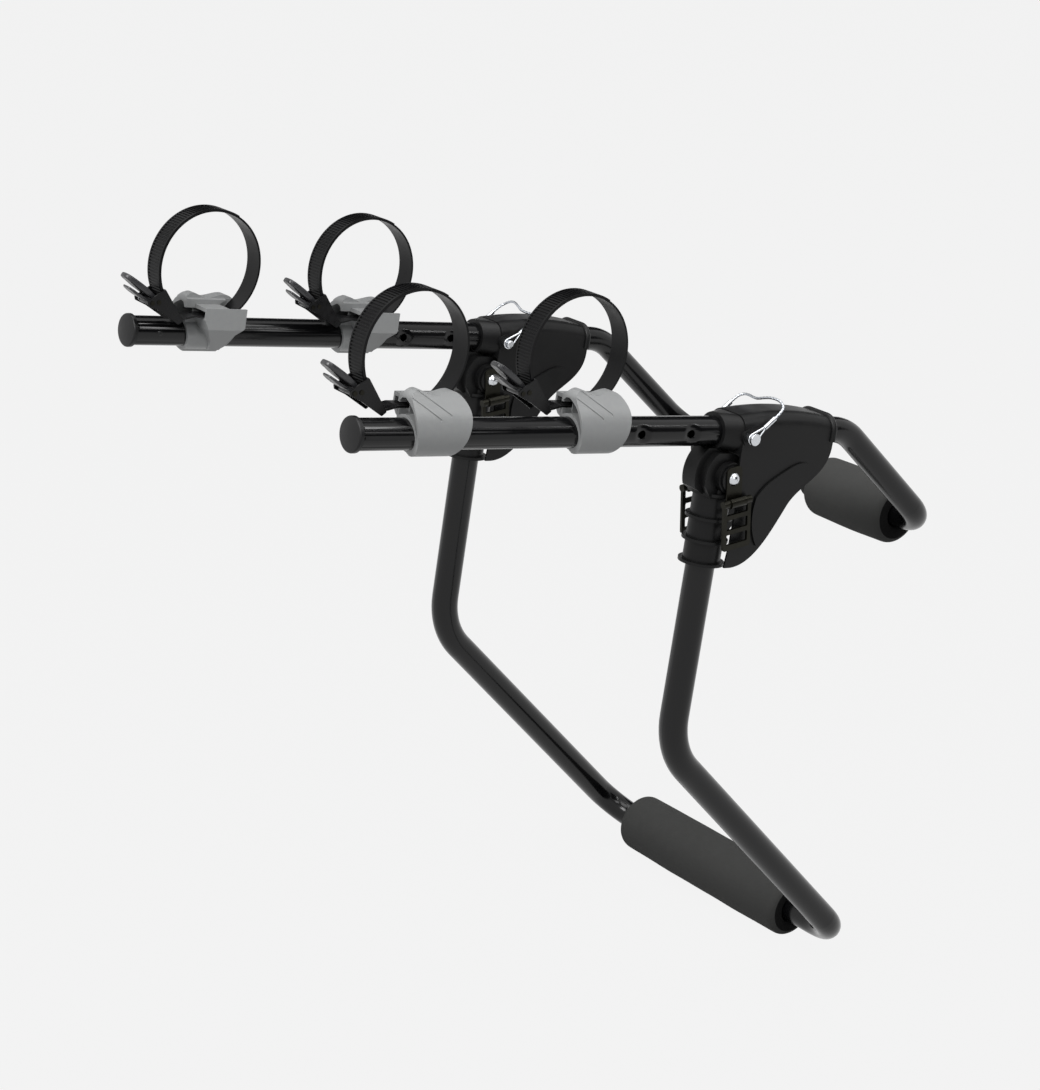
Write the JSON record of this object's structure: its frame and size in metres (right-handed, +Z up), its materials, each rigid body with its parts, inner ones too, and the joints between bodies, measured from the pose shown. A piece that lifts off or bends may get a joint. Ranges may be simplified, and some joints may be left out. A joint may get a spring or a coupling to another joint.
{
  "type": "strap-on bicycle rack",
  "caption": "Folding strap-on boot rack for bicycles: two bent tube frames with foam pads, pinned hubs, support arms, and turning cradles with ratchet straps.",
  "frame": {"origin": "centre of the upper crossbar, between the two upper pads", "axes": "+X to the rack's right as seen from behind the rack facing the car, +Y towards the car, +Z up"},
  "size_m": [0.5054, 0.8421, 0.9359],
  "materials": {
    "tube": "satin black powder coat",
    "foam": "dark grey closed-cell foam",
    "collar": "black foam",
    "hub_plastic": "fine-grained black moulding",
    "cap_plastic": "smooth black",
    "cradle_plastic": "mid-grey moulding",
    "strap_plastic": "flexible black",
    "buckle_plastic": "hard black moulding",
    "black_steel": "dark olive-black zinc",
    "zinc": "bright zinc plating"
  },
  "bodies": {
    "rack": {"upper_frame_tube": "tube", "upper_pad_right": "foam", "upper_pad_left": "foam", "upper_pad_collars": "collar", "arm_right": "tube", "arm_left": "tube", "arm_cap_right": "cap_plastic", "arm_cap_left": "cap_plastic", "hub_shroud_right": "hub_plastic", "hub_shroud_left": "hub_plastic", "pivot_bolts": "zinc", "pivot_nuts": "zinc", "pivot_bushes": "zinc", "shroud_rivets": "zinc", "tie_bracket_outer_right": "black_steel", "tie_bracket_outer_left": "black_steel", "tie_bracket_inner_right": "black_steel", "tie_bracket_inner_left": "black_steel", "lanyard_cable_right": "zinc", "lanyard_cable_left": "zinc", "lanyard_crimps": "zinc", "lanyard_eyes": "zinc"},
    "lower_frame": {"lower_frame_tube": "tube", "lower_pad": "foam", "leg_knuckle_right": "hub_plastic", "leg_knuckle_left": "hub_plastic"},
    "lock_pin_right": {"lock_pin_right": "zinc"},
    "ladder_buckle_outer_right": {"ladder_buckle_outer_right": "black_steel"},
    "ladder_buckle_inner_right": {"ladder_buckle_inner_right": "black_steel"},
    "cradle_front_right": {"cradle_front_right": "cradle_plastic", "strap_front_right": "strap_plastic", "buckle_base_front_right": "buckle_plastic", "buckle_pins_front_right": "black_steel", "tab_spring_front_right": "zinc"},
    "ratchet_lever_front_right": {"ratchet_lever_front_right": "buckle_plastic"},
    "release_tab_front_right": {"release_tab_front_right": "buckle_plastic"},
    "cradle_rear_right": {"cradle_rear_right": "cradle_plastic", "strap_rear_right": "strap_plastic", "buckle_base_rear_right": "buckle_plastic", "buckle_pins_rear_right": "black_steel", "tab_spring_rear_right": "zinc"},
    "ratchet_lever_rear_right": {"ratchet_lever_rear_right": "buckle_plastic"},
    "release_tab_rear_right": {"release_tab_rear_right": "buckle_plastic"},
    "lock_pin_left": {"lock_pin_left": "zinc"},
    "ladder_buckle_outer_left": {"ladder_buckle_outer_left": "black_steel"},
    "ladder_buckle_inner_left": {"ladder_buckle_inner_left": "black_steel"},
    "cradle_front_left": {"cradle_front_left": "cradle_plastic", "strap_front_left": "strap_plastic", "buckle_base_front_left": "buckle_plastic", "buckle_pins_front_left": "black_steel", "tab_spring_front_left": "zinc"},
    "ratchet_lever_front_left": {"ratchet_lever_front_left": "buckle_plastic"},
    "release_tab_front_left": {"release_tab_front_left": "buckle_plastic"},
    "cradle_rear_left": {"cradle_rear_left": "cradle_plastic", "strap_rear_left": "strap_plastic", "buckle_base_rear_left": "buckle_plastic", "buckle_pins_rear_left": "black_steel", "tab_spring_rear_left": "zinc"},
    "ratchet_lever_rear_left": {"ratchet_lever_rear_left": "buckle_plastic"},
    "release_tab_rear_left": {"release_tab_rear_left": "buckle_plastic"}
  },
  "joints": [
    {"name": "lower_frame_fold", "type": "hinge", "parent": "rack", "child": "lower_frame", "pos_m": [0, -0.3258, 0.13745], "axis": [1, 0, 0], "range_deg": [0, 60]},
    {"name": "lock_pin_right_slide", "type": "slide", "parent": "rack", "child": "lock_pin_right", "axis": [1, 0, 0], "range_m": [0, 0.06]},
    {"name": "ladder_buckle_outer_right_swing", "type": "hinge", "parent": "rack", "child": "ladder_buckle_outer_right", "pos_m": [0.24615, -0.3246, 0.1131], "axis": [0, -1, 0], "range_deg": [0, 100]},
    {"name": "ladder_buckle_inner_right_swing", "type": "hinge", "parent": "rack", "child": "ladder_buckle_inner_right", "pos_m": [0.17925, -0.3246, 0.1131], "axis": [0, 1, 0], "range_deg": [0, 100]},
    {"name": "cradle_front_right_swivel", "type": "hinge", "parent": "rack", "child": "cradle_front_right", "pos_m": [0.2127, -0.69318, 0.25715], "axis": [0, -0.9806, 0.1959], "range_deg": [-40, 40]},
    {"name": "ratchet_lever_front_right_hinge", "type": "hinge", "parent": "cradle_front_right", "child": "ratchet_lever_front_right", "pos_m": [0.1897, -0.76632, 0.31084], "axis": [-1, 0, 0], "range_deg": [0, 35]},
    {"name": "release_tab_front_right_hinge", "type": "hinge", "parent": "cradle_front_right", "child": "release_tab_front_right", "pos_m": [0.1897, -0.77419, 0.31136], "axis": [-1, 0, 0], "range_deg": [0, 5], "stiffness_Nm_per_rad": 0.15, "springref_deg": -4.58},
    {"name": "cradle_rear_right_swivel", "type": "hinge", "parent": "rack", "child": "cradle_rear_right", "pos_m": [0.2127, -0.49411, 0.21737], "axis": [0, -0.9806, 0.1959], "range_deg": [-40, 40]},
    {"name": "ratchet_lever_rear_right_hinge", "type": "hinge", "parent": "cradle_rear_right", "child": "ratchet_lever_rear_right", "pos_m": [0.1897, -0.56726, 0.27107], "axis": [-1, 0, 0], "range_deg": [0, 35]},
    {"name": "release_tab_rear_right_hinge", "type": "hinge", "parent": "cradle_rear_right", "child": "release_tab_rear_right", "pos_m": [0.1897, -0.57513, 0.27159], "axis": [-1, 0, 0], "range_deg": [0, 5], "stiffness_Nm_per_rad": 0.15, "springref_deg": -4.58},
    {"name": "lock_pin_left_slide", "type": "slide", "parent": "rack", "child": "lock_pin_left", "axis": [-1, 0, 0], "range_m": [0, 0.06]},
    {"name": "ladder_buckle_outer_left_swing", "type": "hinge", "parent": "rack", "child": "ladder_buckle_outer_left", "pos_m": [-0.24615, -0.3246, 0.1131], "axis": [0, 1, 0], "range_deg": [0, 100]},
    {"name": "ladder_buckle_inner_left_swing", "type": "hinge", "parent": "rack", "child": "ladder_buckle_inner_left", "pos_m": [-0.17925, -0.3246, 0.1131], "axis": [0, -1, 0], "range_deg": [0, 100]},
    {"name": "cradle_front_left_swivel", "type": "hinge", "parent": "rack", "child": "cradle_front_left", "pos_m": [-0.2127, -0.69318, 0.25715], "axis": [0, -0.9806, 0.1959], "range_deg": [-40, 40]},
    {"name": "ratchet_lever_front_left_hinge", "type": "hinge", "parent": "cradle_front_left", "child": "ratchet_lever_front_left", "pos_m": [-0.1897, -0.76632, 0.31084], "axis": [-1, 0, 0], "range_deg": [0, 35]},
    {"name": "release_tab_front_left_hinge", "type": "hinge", "parent": "cradle_front_left", "child": "release_tab_front_left", "pos_m": [-0.1897, -0.77419, 0.31136], "axis": [-1, 0, 0], "range_deg": [0, 5], "stiffness_Nm_per_rad": 0.15, "springref_deg": -4.58},
    {"name": "cradle_rear_left_swivel", "type": "hinge", "parent": "rack", "child": "cradle_rear_left", "pos_m": [-0.2127, -0.49411, 0.21737], "axis": [0, -0.9806, 0.1959], "range_deg": [-40, 40]},
    {"name": "ratchet_lever_rear_left_hinge", "type": "hinge", "parent": "cradle_rear_left", "child": "ratchet_lever_rear_left", "pos_m": [-0.1897, -0.56726, 0.27107], "axis": [-1, 0, 0], "range_deg": [0, 35]},
    {"name": "release_tab_rear_left_hinge", "type": "hinge", "parent": "cradle_rear_left", "child": "release_tab_rear_left", "pos_m": [-0.1897, -0.57513, 0.27159], "axis": [-1, 0, 0], "range_deg": [0, 5], "stiffness_Nm_per_rad": 0.15, "springref_deg": -4.58}
  ]
}
